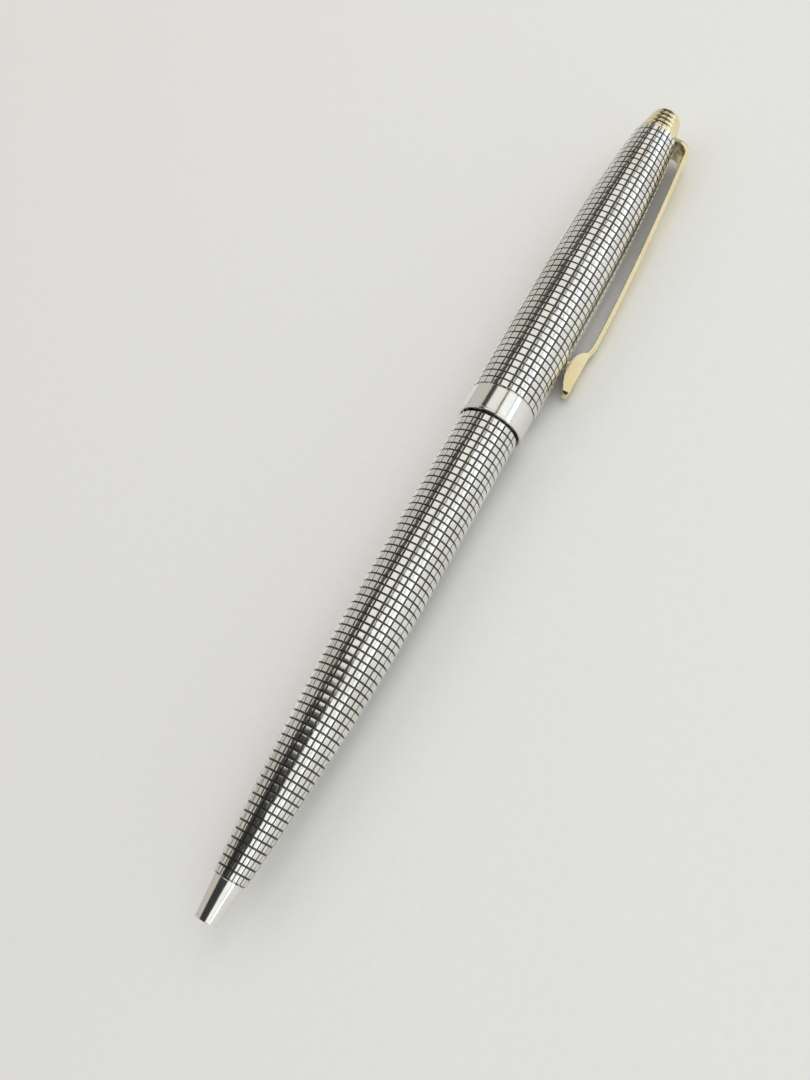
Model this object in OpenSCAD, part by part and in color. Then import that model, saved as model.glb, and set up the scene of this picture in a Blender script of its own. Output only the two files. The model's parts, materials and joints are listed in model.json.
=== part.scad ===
// Push-cap rollerball pen, lying on a flat surface on its cap and its clip.
// Every piece is drawn upright, tip at z = 0 and cap above, and then laid down along +X by laid().

/* [Lengths] */
// Length of the polished nose cone
nose_len = 5.25; // [4:0.05:8]
// Length of barrel between the nose cone and the centre band
barrel_len = 65.85; // [50:0.05:85]
// Length of the centre band
band_len = 4.1; // [2.5:0.05:7]
// Length of the cap above the centre band
cap_len = 50.1; // [41:0.05:62]
// Length of the end button
tassie_len = 4.4; // [3:0.05:7]
// How far the cap presses down onto the barrel
press_travel = 5; // [3:0.1:6]

/* [Nose and barrel] */
// Radius of the rounded rim around the writing hole
rim_r = 1.47; // [1.45:0.01:1.9]
// Radius of the nose cone where it meets the barrel
nose_top_r = 2.03; // [1.95:0.01:2.5]
// Radius of the barrel's front edge
barrel_front_r = 2.15; // [2.1:0.01:2.8]
// Length over which the barrel swells from its front edge to full size
barrel_taper_len = 39.75; // [30:0.05:48]
// How strongly the barrel's swelling is bowed
barrel_bow = 1.8; // [1.4:0.05:2.4]
// Wall of the barrel tube
barrel_wall = 0.54; // [0.4:0.01:0.8]
// How deep the barrel's slim end stands inside the cap
barrel_hidden = 5.9; // [4:0.1:9]
// How much slimmer the hidden end is than the barrel
hidden_step = 0.25; // [0.2:0.01:0.3]
// Length of the nose cone's threaded sleeve
sleeve_len = 5.25; // [3:0.05:7]

/* [Cap] */
// Wall of the cap at its mouth
mouth_wall = 0.45; // [0.38:0.01:0.7]
// Wall of the cap at its widest place
belly_wall = 0.54; // [0.46:0.01:0.9]
// Distance from the centre band to the cap's widest place
belly_at = 12.8; // [8:0.1:20]
// How much slimmer the cap's top edge is than its widest place
cap_taper = 1.39; // [0.9:0.01:1.5]
// How late the cap's upper taper begins
cap_bow = 2.8; // [2:0.1:4]
// Wall left under the centre band
spigot_wall = 0.2; // [0.15:0.01:0.3]
// Radius of the plain stretch of the centre band
band_r = 4.7; // [4.65:0.01:5.6]
// Height of the rolled lip of the centre band
lip_len = 0.8; // [0.5:0.05:1.4]
// How far the rolled lip stands proud of the centre band
lip_proud = 0.06; // [0:0.01:0.15]
// Width of the seam between the centre band and the cap
seam_w = 0.12; // [0.05:0.01:0.25]
// Length of the bush that guides the cap on the mechanism tube
guide_len = 8; // [5:0.1:10]
// Distance from the centre band to the guide bush
guide_at = 8.8; // [7.5:0.1:12]
// Length of the bush that closes the cap's top
top_bush_len = 3.3; // [2.5:0.05:5]

/* [Clip] */
// Thickness of the clip's spring strip
clip_t = 0.65; // [0.4:0.01:0.9]
// Radius of the bend at the top of the clip
arch_r = 1.9; // [1:0.05:2.2]
// Height of the clip's bend above the cap's top edge
clip_top_h = 2.12; // [2:0.01:3]
// Height of the clip's strip just above its end, over the cap's widest place
clip_low_h = 2.72; // [2.4:0.02:3.6]
// Height of the clip's end over the cap's widest place
clip_end_h = 2.37; // [2.25:0.01:3.2]
// Thickness of the clip's end
clip_end_t = 2.1; // [1.4:0.05:2.2]
// Radius of the pad by which the clip's end presses on the cap
clip_pad_r = 0.5; // [0.3:0.05:0.7]
// Length of the thickened clip end
clip_end_len = 7.4; // [5:0.1:10]
// Distance from the centre band to the clip's free end
clip_end_at = 5.1; // [4:0.1:11]
// Width of the clip at the bend
clip_root_w = 4; // [2:0.1:4.8]
// Width of the clip's strip just above its end
clip_neck_w = 1.8; // [0.8:0.05:2.4]
// Width of the clip's end at its widest
clip_end_w = 2.4; // [1.2:0.05:3]
// How strongly the clip's strip is bowed
clip_bow = 1.6; // [1.2:0.05:2.2]

/* [End button] */
// Radius of the end button's base
tassie_base_r = 3.12; // [2.9:0.01:3.4]
// Radius of the end button's flat top
tassie_top_r = 2.1; // [1.8:0.01:2.5]
// Number of steps turned into the end button
tassie_steps = 4; // [3:1:6]
// Depth of the groove between two steps
tassie_groove = 0.16; // [0.05:0.01:0.25]
// Radius of the stud that holds the cap together
stud_r = 1.1; // [0.9:0.05:1.2]
// Length of stud screwed into the plunger and into the end button
stud_hold = 3; // [2:0.1:3.4]

/* [Refill] */
// Radius of the refill's metal tube
refill_r = 2.8; // [2.3:0.05:3.4]
// Wall of the refill's metal tube
refill_wall = 0.3; // [0.2:0.02:0.4]
// Radius of the refill's slim front
front_r = 1.1; // [0.95:0.01:1.15]
// Radius of the writing ball
ball_r = 0.35; // [0.25:0.05:0.5]
// How far the writing ball lies inside the nose at rest
point_depth = 1.2; // [0.8:0.1:2]
// Length of the refill's conical point
point_cone_len = 2.5; // [1.8:0.1:3.5]
// Length of the refill's metal point
point_len = 11; // [8:0.1:14]
// Radius of the feed wick
wick_r = 0.55; // [0.4:0.01:0.7]
// Length of the plug in the refill's rear end
plug_len = 4; // [3:0.1:6]

/* [Mechanism] */
// Wall of the mechanism tube
tube_wall = 0.4; // [0.3:0.01:0.6]
// Wall of the threaded bush between mechanism tube and barrel
neck_wall = 0.26; // [0.2:0.01:0.5]
// Length of the threaded bush inside the barrel
neck_len = 9; // [6:0.1:12]
// Length of mechanism tube screwed into the bush
tube_hold = 5; // [3:0.1:6]
// Length of the cam housing
housing_len = 13; // [11:0.1:15]
// Depth of the cam housing's grooves
groove_depth = 0.5; // [0.3:0.01:0.55]
// Bore of the cam housing as a radius
housing_bore_r = 2.25; // [2.1:0.01:2.3]
// Angle that a groove spans
groove_angle = 25; // [22:1:28]
// Length of the rotor
rotor_len = 6; // [5:0.1:7]
// Length of rotor inside the cam housing at rest
rotor_catch = 2; // [1:0.1:2.2]
// Angle that a rotor rib spans
rib_angle = 14; // [10:1:15]
// Length of the bush in the mechanism tube's top
tube_cap_len = 3.5; // [2.5:0.1:5]
// Radius of the plunger's stem
stem_r = 1.55; // [1.4:0.01:1.8]
// Room for the cap spring at rest
spring_room = 9.5; // [8:0.1:12]

/* [Springs] */
// Wire radius of the refill spring
refill_wire_r = 0.16; // [0.1:0.01:0.18]
// Turns of the refill spring
refill_turns = 9; // [5:1:14]
// Length of the refill spring at rest
refill_spring_len = 11; // [9.5:0.1:14]
// Wire radius of the cap spring
cap_wire_r = 0.22; // [0.15:0.01:0.3]
// Turns of the cap spring
cap_turns = 6; // [4:1:9]

/* [Fits] */
// Radial clearance between pieces that slide or turn
run_gap = 0.05; // [0.02:0.01:0.1]
// Wider clearance round pieces that must not rub
free_gap = 0.24; // [0.2:0.01:0.4]
// Gap between faces that only just part
face_gap = 0.02; // [0.01:0.01:0.05]

/* [Hidden] */
$fn = 96;
// overlap of joined solids, how far a cut runs past what it cuts, how deep a rib is rooted
eps = 0.01;
over = 1;
bite = 0.2;
curve_steps = 14;
arc_steps = 8;
// details of the mechanism: number of grooves and ribs, and how deep each crown of teeth is cut
grooves = 8;
ribs = 4;
cam_crown = 0.5;
housing_crown = 0.7;
plug_slot = 0.35;
// short rims and flanges, and the waist of the barrel just below the band
rim_len = 0.5;
flange_len = 1;
relief_len = 0.5;

// radii, worked out from the refill outwards
tube_in_r = refill_r + free_gap;
tube_r = tube_in_r + tube_wall;
neck_r = tube_r + neck_wall;
barrel_r = neck_r + barrel_wall;
hidden_r = barrel_r - hidden_step;
cap_bore_r = barrel_r + run_gap;
mouth_r = cap_bore_r + mouth_wall;
belly_r = cap_bore_r + belly_wall;
cap_top_r = belly_r - cap_taper;
spigot_r = cap_bore_r + spigot_wall;
band_out_r = max(band_r, spigot_r + spigot_wall);
hole_r = front_r + run_gap;
front_bore_r = barrel_front_r - barrel_wall;
sleeve_bore_r = hole_r + run_gap;
top_bore_r = cap_top_r - belly_wall;
groove_r = housing_bore_r + groove_depth;

// places along the pen
band_z = nose_len + barrel_len;
band_top_z = band_z + band_len;
cap_top_z = band_top_z + cap_len;
tassie_z = cap_top_z + clip_t;
pen_len = tassie_z + tassie_len;
barrel_full_z = nose_len + barrel_taper_len;
barrel_top_z = band_z + barrel_hidden;
sleeve_z = nose_len + sleeve_len;
belly_z = band_top_z + belly_at;
top_bush_z = cap_top_z - top_bush_len;
tube_top_z = top_bush_z - spring_room;
tube_cap_z = tube_top_z - tube_cap_len;
housing_z = tube_cap_z - housing_len;
rotor_top_z = housing_z + rotor_catch;
refill_end_z = rotor_top_z - rotor_len;
tube_z = barrel_top_z - tube_hold;
ball_z = point_depth + ball_r;
point_end_z = point_depth + point_len;

// outer radius of the barrel and of the cap at height z
function barrel_out(z) =
    barrel_r - (barrel_r - barrel_front_r)
        * pow(max(0, barrel_full_z - z) / barrel_taper_len, barrel_bow);
function cap_out(z) = z < belly_z
    ? belly_r - (belly_r - mouth_r) * pow((belly_z - z) / belly_at, 2)
    : belly_r - (belly_r - cap_top_r) * pow((z - belly_z) / (cap_top_z - belly_z), cap_bow);
// height at which the barrel's bore opens to radius r
function bore_reaches(r) =
    barrel_full_z - barrel_taper_len
        * pow((neck_r - r) / (barrel_r - barrel_front_r), 1 / barrel_bow);
// n + 1 even steps from a to b
function steps(a, b, n) = [for (i = [0:n]) a + (b - a) * i / n];

// where the refill's shoulders pass the narrowing bore with the cap pressed down
shoulder_r = (front_r + refill_r) / 2;
shoulder_z = max(
    bore_reaches(shoulder_r + free_gap) + press_travel,
    sleeve_z + refill_spring_len
);
collar_len = 1.5;
refill_cone_len = 3;
refill_tube_z = max(
    shoulder_z + collar_len,
    bore_reaches(refill_r + run_gap) + press_travel - refill_cone_len / 2
);
refill_full_z = refill_tube_z + refill_cone_len;
plug_rim_z = refill_end_z - flange_len;

// the wick, from the back of the point's cone into the ink
point_cone_z = point_depth + point_cone_len;
wick_z = point_cone_z + 0.5;
wick_end_z = refill_tube_z + 4;

// the clip, as distances from the pen's axis and half widths at height z
clip_top_r = cap_top_r + clip_top_h;
clip_low_r = belly_r + clip_low_h;
clip_end_r = belly_r + clip_end_h;
clip_end_z = band_top_z + clip_end_at;
clip_neck_z = clip_end_z + clip_end_len;
arch_z = tassie_z - arch_r;
arch_lean = 6;
arm_top_z = arch_z + arch_r * sin(arch_lean);
arm_top_r = clip_top_r - arch_r * (1 - cos(arch_lean));
blend_len = 0.8;
arm_low_z = clip_neck_z + 1.5 * blend_len;
pad_z = clip_end_z + 0.66 * clip_end_len;
pad_tip_r = cap_out(pad_z) + face_gap;
// a share that rises from 0 to 1 and falls back as u runs from 0 to 1, highest where u is peak
function swell(u, peak, fullness) = pow(max(0, sin(180 * pow(u, ln(0.5) / ln(peak)))), fullness);
function ease(u) = u * u * (3 - 2 * u);
function arm_out(z) = z > arm_low_z
    ? clip_low_r - (clip_low_r - arm_top_r)
        * pow((z - arm_low_z) / (arm_top_z - arm_low_z), clip_bow)
    : clip_end_r + (clip_low_r - clip_end_r)
        * ease((z - clip_neck_z + blend_len) / (arm_low_z - clip_neck_z + blend_len));
function end_share(z) = (z - clip_end_z) / clip_end_len;
function end_in(z) =
    clip_end_r - clip_t - (clip_end_t - clip_t) * swell(end_share(z), 0.6, 0.55);
function end_half_w(z) =
    clip_neck_w / 2 + (clip_end_w - clip_neck_w) / 2 * swell(end_share(z), 0.5, 1);
function arm_half_w(z) =
    clip_neck_w / 2 + (clip_root_w - clip_neck_w) / 2 * (z - clip_neck_z) / (arch_z - clip_neck_z);

// roll at which the clip touches the surface that the cap's widest place lies on
function roll_for(r, half_w) = asin(belly_r / norm([r, half_w])) - atan(half_w / r);
arm_zs = steps(arm_low_z, arm_top_z, 40);
clip_roll = min(
    roll_for(clip_end_r, clip_end_w / 2),
    min([for (z = arm_zs) roll_for(arm_out(z), arm_half_w(z))])
);
clip_reach = max([
    for (z = arm_zs) arm_out(z) * cos(clip_roll) + arm_half_w(z) * sin(clip_roll)
]);

module laid() {
    translate([-pen_len / 2, (clip_reach - belly_r) / 2, belly_r])
        rotate([clip_roll - 90, 0, 0]) rotate([0, 90, 0]) children();
}

module ring(r_out, r_in, z0, z1) {
    difference() {
        translate([0, 0, z0]) cylinder(r = r_out, h = z1 - z0);
        translate([0, 0, z0 - eps]) cylinder(r = r_in, h = z1 - z0 + 2 * eps);
    }
}

module rod(r, z0, z1) {
    translate([0, 0, z0]) cylinder(r = r, h = z1 - z0);
}

// one closed wire with flat ends, wound round the axis from z0 to z1
module coil(mean_r, wire_r, turns, z0, z1) {
    sides = 8;
    per_turn = 20;
    rise = z1 - z0 - 2 * wire_r;
    rings = turns * per_turn;
    points = [
        for (i = [0:rings], s = [0:sides - 1])
            let (turn = 360 * i / per_turn, around = 360 * s / sides,
                 r = mean_r + wire_r * cos(around),
                 u = i / rings,
                 closed = 2 / turns,
                 climb = u < closed ? u * 0.5 : u > 1 - closed ? 1 - (1 - u) * 0.5
                    : closed * 0.5 + (u - closed) * (1 - closed) / (1 - 2 * closed))
            [r * cos(turn), r * sin(turn), z0 + wire_r + rise * climb + wire_r * sin(around)]
    ];
    skin = [
        for (i = [0:rings - 1], s = [0:sides - 1])
            let (a = i * sides + s, b = i * sides + (s + 1) % sides)
            [a, a + sides, b + sides, b]
    ];
    first = [for (s = [0:sides - 1]) s];
    last = [for (s = [sides - 1:-1:0]) rings * sides + s];
    polyhedron(points, concat(skin, [first, last]), convexity = 10);
}

// V notches that cut the face at height z into a crown of teeth
module crown_cuts(count, r, z, depth) {
    for (i = [0:count - 1])
        rotate([0, 0, 360 / count * (i + 0.5)])
            translate([r / 2, 0, z]) rotate([45, 0, 0])
                cube([r + 2 * over, depth * sqrt(2), depth * sqrt(2)], center = true);
}

module nose_cone() {
    rim = rim_r - hole_r;
    flare = 0.06;
    edge = 0.1;
    color("gainsboro") laid() rotate_extrude() polygon(concat(
        [for (a = steps(180, 90, arc_steps)) [hole_r + rim + rim * cos(a), rim - rim * sin(a)]],
        [[rim_r + flare * 2 / 3, rim / 2], [rim_r + flare, rim]],
        [[nose_top_r, nose_len - edge], [nose_top_r - edge, nose_len]],
        [[front_bore_r, nose_len], [front_bore_r, sleeve_z], [sleeve_bore_r, sleeve_z]],
        [[sleeve_bore_r, nose_len / 2], [hole_r, nose_len / 2]]
    ));
}

module barrel_shell() {
    relief_z = band_z - relief_len;
    color("silver") laid() rotate_extrude() polygon(concat(
        [[front_bore_r, nose_len]],
        [for (z = steps(nose_len, barrel_full_z, curve_steps)) [barrel_out(z), z]],
        [[barrel_r, relief_z], [hidden_r, relief_z], [hidden_r, barrel_top_z]],
        [[neck_r, barrel_top_z]],
        [for (z = steps(barrel_full_z, sleeve_z, curve_steps)) [barrel_out(z) - barrel_wall, z]],
        [[front_bore_r, sleeve_z]]
    ));
}

module barrel_neck() {
    color("goldenrod") laid() union() {
        ring(neck_r, tube_in_r, barrel_top_z - neck_len, tube_z);
        ring(neck_r, tube_r, tube_z - eps, barrel_top_z);
        ring(hidden_r, tube_r, barrel_top_z, barrel_top_z + flange_len);
    }
}

module mechanism_tube() {
    color("lightsteelblue") laid() ring(tube_r, tube_in_r, tube_z, tube_top_z - rim_len);
}

module cam_housing() {
    color("ivory") laid() difference() {
        ring(tube_in_r, housing_bore_r, housing_z, tube_cap_z);
        for (i = [0:grooves - 1])
            rotate([0, 0, 360 / grooves * i - groove_angle / 2])
                rotate_extrude(angle = groove_angle)
                    translate([housing_bore_r - bite, housing_z - over])
                        square([groove_depth + bite, housing_len - over]);
        crown_cuts(grooves, tube_in_r, housing_z, housing_crown);
    }
}

module tube_cap() {
    color("goldenrod") laid() difference() {
        union() {
            rod(tube_in_r, tube_cap_z, tube_top_z - rim_len + eps);
            rod(tube_r, tube_top_z - rim_len, tube_top_z);
        }
        rod(stem_r + run_gap, tube_cap_z - over, tube_top_z + over);
    }
}

module refill_spring() {
    mean_r = (sleeve_bore_r + front_bore_r) / 2 + face_gap;
    color("lightgray") laid()
        coil(mean_r, refill_wire_r, refill_turns, sleeve_z + face_gap, shoulder_z - face_gap);
}

module refill_tube() {
    color("silver") laid() rotate_extrude() polygon([
        [shoulder_r, refill_tube_z], [refill_r, refill_full_z], [refill_r, plug_rim_z],
        [refill_r - refill_wall, plug_rim_z], [refill_r - refill_wall, refill_full_z],
        [shoulder_r - refill_wall, refill_tube_z]
    ]);
}

module refill_front() {
    spigot = shoulder_r - refill_wall;
    spigot_len = 1.8;
    color("white") laid() difference() {
        union() {
            rod(front_r, point_end_z, shoulder_z + eps);
            rod(shoulder_r, shoulder_z, refill_tube_z);
            rod(spigot, refill_tube_z - eps, refill_tube_z + spigot_len);
        }
        rod(wick_r, point_end_z - over, wick_end_z);
    }
}

module refill_point() {
    lip_wall = 0.06;
    lip_z = ball_z - ball_r / 3;
    color("lightsteelblue") laid() difference() {
        rotate_extrude() polygon([
            [0, ball_z], [ball_r + lip_wall, lip_z], [front_r, point_cone_z],
            [front_r, point_end_z], [0, point_end_z]
        ]);
        translate([0, 0, ball_z]) sphere(r = ball_r + face_gap);
        rod(ball_r / 2, ball_z, wick_z + eps);
        rod(wick_r, wick_z, point_end_z + over);
    }
}

module writing_ball() {
    color("dimgray") laid() translate([0, 0, ball_z]) sphere(r = ball_r);
}

module feed_wick() {
    color("whitesmoke") laid() rod(wick_r, wick_z, wick_end_z);
}

module ink_reservoir() {
    fill_z = refill_full_z + free_gap;
    color("navy") laid() difference() {
        rod(refill_r - refill_wall, fill_z, refill_end_z - plug_len);
        rod(wick_r, fill_z - over, wick_end_z);
    }
}

module refill_end_plug() {
    color("dimgray") laid() difference() {
        union() {
            rod(refill_r - refill_wall, refill_end_z - plug_len, plug_rim_z + eps);
            rod(refill_r, plug_rim_z, refill_end_z);
        }
        crown_cuts(2, refill_r, refill_end_z, plug_slot);
    }
}

module rotor() {
    body_r = housing_bore_r - 0.15;
    pilot_r = stud_r - 0.1;
    pilot_len = 2.5;
    foot_len = 1.5;
    rib_turn = groove_angle / 2 - 1 - rib_angle;
    color("orangered") laid() difference() {
        union() {
            rod(body_r, refill_end_z + face_gap, rotor_top_z);
            rod(pilot_r, rotor_top_z - eps, rotor_top_z + pilot_len);
            for (i = [0:ribs - 1])
                rotate([0, 0, 360 / ribs * i + rib_turn])
                    rotate_extrude(angle = rib_angle)
                        translate([body_r - bite, refill_end_z + foot_len])
                            square([groove_r - run_gap - body_r + bite, rotor_len - foot_len]);
        }
        difference() {
            crown_cuts(grooves, groove_r, rotor_top_z, cam_crown);
            rod(pilot_r, refill_end_z, rotor_top_z + pilot_len + over);
        }
    }
}

module plunger() {
    foot_z = rotor_top_z + 0.2;
    collar_z = tube_cap_z - face_gap;
    key_len = 6.5;
    key_play = 2;
    socket_len = 4;
    body_r = housing_bore_r - run_gap;
    color("white") laid() difference() {
        union() {
            rod(body_r, foot_z, collar_z);
            rod(stem_r, collar_z - eps, top_bush_z);
            for (i = [0:ribs - 1])
                rotate([0, 0, 360 / ribs * (i + 0.5) - groove_angle / 2 + key_play])
                    rotate_extrude(angle = groove_angle - 2 * key_play)
                        translate([body_r - bite, foot_z + cam_crown])
                            square([groove_depth, key_len]);
        }
        rod(stud_r, foot_z - over, foot_z + socket_len);
        rod(stud_r, top_bush_z - stud_hold, top_bush_z + over);
        crown_cuts(grooves, groove_r, foot_z, cam_crown);
    }
}

module cap_spring() {
    mean_r = stem_r + free_gap + cap_wire_r;
    color("lightgray") laid()
        coil(mean_r, cap_wire_r, cap_turns, tube_top_z + face_gap, top_bush_z - face_gap);
}

module cap_shell() {
    lip_z = band_z + lip_len;
    bush_seat = 0.5;
    taper_in_z = belly_z + 6;
    color("silver") laid() rotate_extrude() polygon(concat(
        [[cap_bore_r, lip_z], [spigot_r, lip_z], [spigot_r, band_top_z]],
        [for (z = steps(band_top_z, cap_top_z, 2 * curve_steps)) [cap_out(z), z]],
        [[top_bore_r, cap_top_z], [top_bore_r, top_bush_z - bush_seat]],
        [for (z = steps(top_bush_z - 2 * bush_seat, taper_in_z, curve_steps)) [
            min(cap_bore_r, cap_out(z) - mouth_wall), z
        ]]
    ));
}

module centre_band() {
    half_lip = lip_len / 2;
    bulge = half_lip * 0.4;
    bulge_r = band_out_r + lip_proud - bulge;
    mouth_bore_r = cap_bore_r + run_gap;
    edge = 0.1;
    color("gainsboro") laid() rotate_extrude() polygon(concat(
        [[mouth_bore_r, band_z + edge], [mouth_bore_r + edge, band_z]],
        [for (a = steps(-90, 90, arc_steps)) [
            bulge_r + bulge * cos(a), band_z + half_lip + half_lip * sin(a)
        ]],
        [[band_out_r, band_z + lip_len], [band_out_r, band_top_z - seam_w]],
        [[spigot_r, band_top_z - seam_w], [spigot_r, band_z + lip_len]],
        [[mouth_bore_r, band_z + lip_len]]
    ));
}

module cap_guide_bush() {
    guide_z = band_top_z + guide_at;
    color("ivory") laid() ring(cap_bore_r, tube_r + run_gap, guide_z, guide_z + guide_len);
}

module cap_top_bush() {
    color("goldenrod") laid() ring(top_bore_r, stud_r + run_gap, top_bush_z, cap_top_z);
}

module clip_side() {
    out_zs = steps(arm_top_z, clip_neck_z - blend_len, curve_steps);
    end_zs = steps(clip_end_z, clip_neck_z - blend_len / 2, 2 * curve_steps);
    arch_x = clip_top_r - arch_r;
    nose = 0.2;
    polygon(concat(
        [[0, tassie_z]],
        [for (a = steps(90, arch_lean, arc_steps)) [arch_x + arch_r * cos(a), arch_z + arch_r * sin(a)]],
        [for (z = out_zs) [arm_out(z), z]],
        [[clip_end_r, clip_end_z + 2 * nose], [clip_end_r - nose, clip_end_z]],
        [for (z = end_zs) [end_in(z), z]],
        [for (z = steps(clip_neck_z, arm_top_z, curve_steps)) [arm_out(z) - clip_t, z]],
        [for (a = steps(arch_lean, 90, arc_steps)) [
            arch_x + (arch_r - clip_t) * cos(a), arch_z + (arch_r - clip_t) * sin(a)
        ]],
        [[0, tassie_z - clip_t]]
    ));
}

module clip_front() {
    end_zs = steps(clip_end_z, clip_neck_z, curve_steps);
    root = clip_root_w / 2;
    right = concat(
        [for (z = end_zs) [end_half_w(z) * sqrt(min(1, 0.35 + 2.2 * end_share(z))), z]],
        [[root, arch_z], [root, tassie_z + over]]
    );
    left = [for (i = [len(right) - 1:-1:0]) [-right[i][0], right[i][1]]];
    polygon(concat(right, left));
}

module clip() {
    color("khaki") laid() difference() {
        union() {
            intersection() {
                rotate([90, 0, 0]) linear_extrude(height = clip_root_w + over, center = true) clip_side();
                rotate([90, 0, 90]) linear_extrude(height = clip_low_r + over) clip_front();
            }
            translate([pad_tip_r, 0, pad_z]) rotate([0, 90, 0])
                cylinder(r = clip_pad_r, h = clip_end_r - clip_t - pad_tip_r);
            rod(tassie_base_r, cap_top_z, tassie_z);
        }
        rod(stud_r + run_gap, cap_top_z - over, tassie_z + over);
    }
}

module tassie() {
    dome_len = 0.5;
    edge = 0.2;
    step_len = (tassie_len - dome_len) / tassie_steps;
    slope = (tassie_base_r - tassie_top_r) / tassie_len;
    color("khaki") laid() difference() {
        rotate_extrude() polygon(concat(
            [[0, tassie_z]],
            [for (i = [0:tassie_steps - 1]) each
                let (z = tassie_z + step_len * i, r = tassie_base_r - slope * step_len * i)
                [[r - tassie_groove, z], [r, z + edge], [r, z + step_len - edge],
                 [r - tassie_groove, z + step_len - edge / 4]]
            ],
            [[tassie_top_r, pen_len - dome_len], [tassie_top_r - edge / 2, pen_len - edge]],
            [[tassie_top_r - dome_len, pen_len - edge / 4], [0, pen_len]]
        ));
        rod(stud_r, tassie_z - over, tassie_z + stud_hold);
    }
}

module tassie_stud() {
    color("goldenrod") laid() rod(stud_r, top_bush_z - stud_hold, tassie_z + stud_hold);
}

nose_cone();
barrel_shell();
barrel_neck();
mechanism_tube();
cam_housing();
tube_cap();
refill_spring();
refill_tube();
refill_front();
refill_point();
writing_ball();
feed_wick();
ink_reservoir();
refill_end_plug();
rotor();
plunger();
cap_spring();
cap_shell();
centre_band();
cap_guide_bush();
cap_top_bush();
clip();
tassie();
tassie_stud();
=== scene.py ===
import json
import math

import bmesh
import bpy
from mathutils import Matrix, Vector


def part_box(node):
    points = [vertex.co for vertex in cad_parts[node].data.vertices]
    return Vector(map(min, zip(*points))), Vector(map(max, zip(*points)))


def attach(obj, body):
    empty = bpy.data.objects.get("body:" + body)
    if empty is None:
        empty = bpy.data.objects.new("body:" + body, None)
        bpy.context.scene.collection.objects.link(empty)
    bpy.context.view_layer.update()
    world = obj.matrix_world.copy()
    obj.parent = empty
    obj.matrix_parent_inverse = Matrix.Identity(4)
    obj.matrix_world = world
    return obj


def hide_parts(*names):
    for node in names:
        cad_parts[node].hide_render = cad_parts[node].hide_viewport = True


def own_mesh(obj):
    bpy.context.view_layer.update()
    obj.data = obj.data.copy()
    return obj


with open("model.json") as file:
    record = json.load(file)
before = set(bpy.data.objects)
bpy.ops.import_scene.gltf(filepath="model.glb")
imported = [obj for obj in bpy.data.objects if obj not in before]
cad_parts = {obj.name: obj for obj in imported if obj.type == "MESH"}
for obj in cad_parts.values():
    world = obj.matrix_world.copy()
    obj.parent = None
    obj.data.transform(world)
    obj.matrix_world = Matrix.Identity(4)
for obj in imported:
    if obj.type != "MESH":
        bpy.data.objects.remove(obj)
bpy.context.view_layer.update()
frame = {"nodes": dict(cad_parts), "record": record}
mm = 0.001
turn = 2 * math.pi

noseLow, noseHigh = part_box("nose_cone")
barrelLow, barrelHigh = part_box("barrel_shell")
bandLow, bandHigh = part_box("centre_band")
capLow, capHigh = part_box("cap_shell")
clipLow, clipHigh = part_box("clip")
tassieLow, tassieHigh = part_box("tassie")
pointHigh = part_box("refill_point")[1]

tipX = noseLow.x
axisY = (barrelLow.y + barrelHigh.y) / 2
axisZ = (barrelLow.z + barrelHigh.z) / 2
barrelR = (barrelHigh.y - barrelLow.y) / 2
bellyR = (capHigh.y - capLow.y) / 2


def along(distance):  # metres along X at a distance in millimetres from the tip
    return tipX + distance * mm


def around(x, r, angle):  # a point on a circle round the pen's axis, angle 0 upwards
    return Vector((x, axisY + r * math.sin(angle), axisZ + r * math.cos(angle)))


def addPiece(name, mesh, body, replaced, materials):
    piece = bpy.data.objects.new(name, mesh)
    bpy.context.scene.collection.objects.link(piece)
    mesh.materials.clear()
    for material in materials:
        mesh.materials.append(material)
    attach(piece, body)
    if replaced:
        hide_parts(*replaced)
    return piece


def smoothMesh(mesh, sharpDegrees):
    mesh.polygons.foreach_set("use_smooth", [True] * len(mesh.polygons))
    mesh.set_sharp_from_angle(angle=math.radians(sharpDegrees))


def wire(tree, socket, value):
    if isinstance(value, bpy.types.NodeSocket):
        tree.links.new(value, socket)
    else:
        socket.default_value = value


def sumOf(tree, operation, a, b=0.0, c=None):
    node = tree.nodes.new("ShaderNodeMath")
    node.operation = operation
    wire(tree, node.inputs[0], a)
    if len(node.inputs) > 1:
        wire(tree, node.inputs[1], b)
    if c is not None:
        wire(tree, node.inputs[2], c)
    return node.outputs[0]


def mapped(tree, value, low, high, newLow, newHigh):
    node = tree.nodes.new("ShaderNodeMapRange")
    for socket, number in zip(node.inputs, (value, low, high, newLow, newHigh)):
        wire(tree, socket, number)
    return node.outputs[0]


def newMaterial(name):
    material = bpy.data.materials.new(name)
    material.use_nodes = True
    tree = material.node_tree
    shader = tree.nodes["Principled BSDF"]
    return material, tree, shader


def objectCoords(tree, scale=(1, 1, 1)):
    coords = tree.nodes.new("ShaderNodeTexCoord")
    mapping = tree.nodes.new("ShaderNodeMapping")
    mapping.inputs["Scale"].default_value = scale
    tree.links.new(coords.outputs["Object"], mapping.inputs["Vector"])
    return mapping.outputs["Vector"]


def noise(tree, vector, scale, detail=3.0, roughness=0.5):
    node = tree.nodes.new("ShaderNodeTexNoise")
    tree.links.new(vector, node.inputs["Vector"])
    node.inputs["Scale"].default_value = scale
    node.inputs["Detail"].default_value = detail
    node.inputs["Roughness"].default_value = roughness
    return node.outputs["Fac"]


def mixColour(tree, share, first, second):
    node = tree.nodes.new("ShaderNodeMix")
    node.data_type = "RGBA"
    wire(tree, node.inputs["Factor"], share)
    wire(tree, node.inputs["A"], first)
    wire(tree, node.inputs["B"], second)
    return node.outputs["Result"]


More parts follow.
